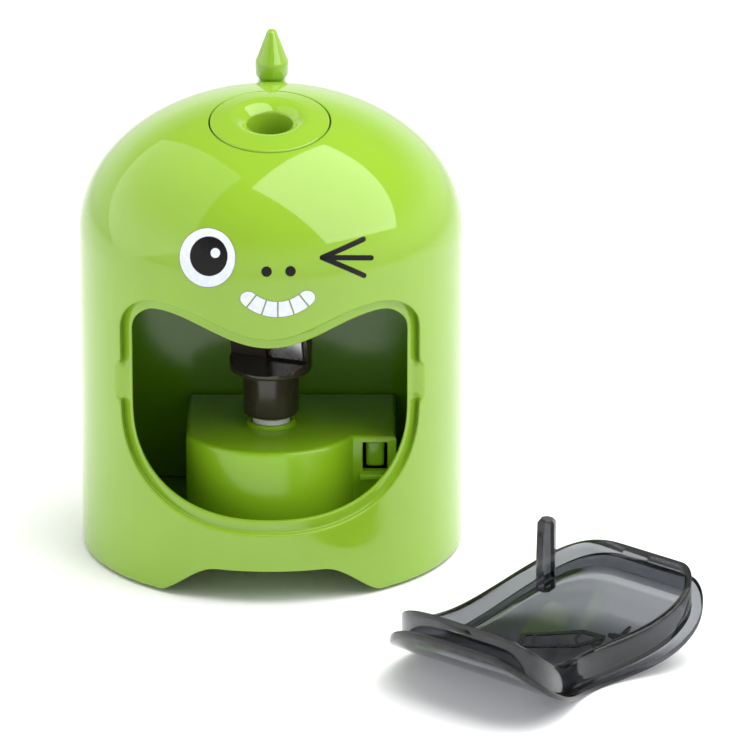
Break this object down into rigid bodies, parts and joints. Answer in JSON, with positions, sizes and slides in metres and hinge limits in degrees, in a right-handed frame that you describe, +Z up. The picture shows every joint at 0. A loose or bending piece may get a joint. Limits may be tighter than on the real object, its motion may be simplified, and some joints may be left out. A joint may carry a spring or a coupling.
{
  "type": "pencil sharpener",
  "caption": "Round domed battery desk pencil sharpener with a cartoon animal face; its smoke-clear shavings cover lies beside it.",
  "frame": {"origin": "middle of the footprint of the sharpener and its lying cover, on the table", "axes": "+Z up; -Y is the front with the face and the opening; the cover lies to the front right, at +X and -Y"},
  "size_m": [0.1278, 0.1498, 0.1045],
  "materials": {
    "lime_shell": "glossy lime green moulded ABS",
    "lime_guide": "glossy lime green moulded ABS",
    "lime_door": "glossy lime green moulded ABS",
    "smoke_cover": "clear smoke-grey polystyrene, glossy",
    "dark_green_base": "satin green ABS",
    "green_housing": "satin green ABS",
    "green_partition": "satin green ABS",
    "green_button": "satin green ABS",
    "smoke_carrier": "dark smoke polycarbonate",
    "blade_steel": "ground carbon steel",
    "white_collar": "white acetal",
    "white_gear": "white acetal",
    "brass": "turned brass",
    "zinc_steel": "zinc-plated steel",
    "steel": "bright steel",
    "spring_steel": "nickel-plated spring steel",
    "black_switch": "black nylon",
    "black_cradle": "black ABS",
    "cell_jacket": "plain printed jacket",
    "grey_plate": "grey nylon",
    "foot_rubber": "soft black rubber"
  },
  "bodies": {
    "root": {"base_plate": "dark_green_base", "base_screw_1": "steel", "base_screw_2": "steel", "base_screw_3": "steel", "base_screw_4": "steel", "body_shell": "lime_shell", "cell_cradle_left": "black_cradle", "cell_cradle_right": "black_cradle", "cell_left": "cell_jacket", "cell_right": "cell_jacket", "cell_spring_left": "spring_steel", "cell_spring_right": "spring_steel", "contact_bridge": "spring_steel", "contact_plate": "spring_steel", "gearbox_plate": "grey_plate", "gearbox_screw_1": "steel", "gearbox_screw_2": "steel", "gearbox_screw_3": "steel", "gearbox_screw_4": "steel", "head_spike": "lime_guide", "idler_pin": "steel", "interlock_spring": "spring_steel", "interlock_switch": "black_switch", "motor_can": "zinc_steel", "motor_end_cap": "white_gear", "motor_housing": "green_housing", "output_bush": "brass", "pencil_guide": "lime_guide", "rear_partition": "green_partition", "rubber_foot_1": "foot_rubber", "rubber_foot_2": "foot_rubber", "rubber_foot_3": "foot_rubber", "rubber_foot_4": "foot_rubber", "start_switch": "black_switch"},
    "cover": {"shavings_cover": "smoke_cover"},
    "drive_shaft": {"output_shaft": "white_collar", "output_gear": "white_gear", "carrier_spring": "spring_steel"},
    "carrier": {"cutter_carrier": "smoke_carrier", "cutter_blade": "blade_steel", "blade_screw": "steel", "push_rod": "steel"},
    "idler": {"idler_gear": "white_gear"},
    "motor_rotor": {"motor_shaft": "steel", "motor_pinion": "brass"},
    "plunger": {"start_plunger": "white_gear"},
    "button": {"interlock_button": "green_button"},
    "door": {"battery_door": "lime_door"}
  },
  "joints": [
    {"name": "cover_lift", "type": "slide", "parent": "root", "child": "cover", "axis": [0, 0, 1], "range_m": [0, 0.11]},
    {"name": "cutter_spin", "type": "hinge", "parent": "root", "child": "drive_shaft", "pos_m": [-0.02385, 0.02435, 0.031], "axis": [0, 0, 1], "continuous": true},
    {"name": "cutter_press", "type": "slide", "parent": "drive_shaft", "child": "carrier", "axis": [0, 0, -1], "range_m": [0, 0.0012], "stiffness_N_per_m": 400, "springref_m": -0.002, "deforming": ["carrier_spring"]},
    {"name": "idler_spin", "type": "hinge", "parent": "root", "child": "idler", "pos_m": [-0.02385, 0.04085, 0.016], "axis": [0, 0, 1], "continuous": true},
    {"name": "rotor_spin", "type": "hinge", "parent": "root", "child": "motor_rotor", "pos_m": [-0.02385, 0.05455, 0.016], "axis": [0, 0, 1], "continuous": true},
    {"name": "start_press", "type": "slide", "parent": "root", "child": "plunger", "axis": [0, 0, -1], "range_m": [0, 0.0012]},
    {"name": "interlock_press", "type": "slide", "parent": "root", "child": "button", "axis": [0, 1, 0], "range_m": [0, 0.002], "stiffness_N_per_m": 300, "springref_m": -0.002, "deforming": ["interlock_spring"]},
    {"name": "door_pull", "type": "slide", "parent": "root", "child": "door", "axis": [0, 1, 0], "range_m": [0, 0.03]}
  ],
  "couplings": [
    {"joint": "idler_spin", "follows": "cutter_spin", "ratio": -3.2727},
    {"joint": "rotor_spin", "follows": "cutter_spin", "ratio": 9.4909},
    {"joint": "start_press", "follows": "cutter_press", "ratio": 1}
  ]
}
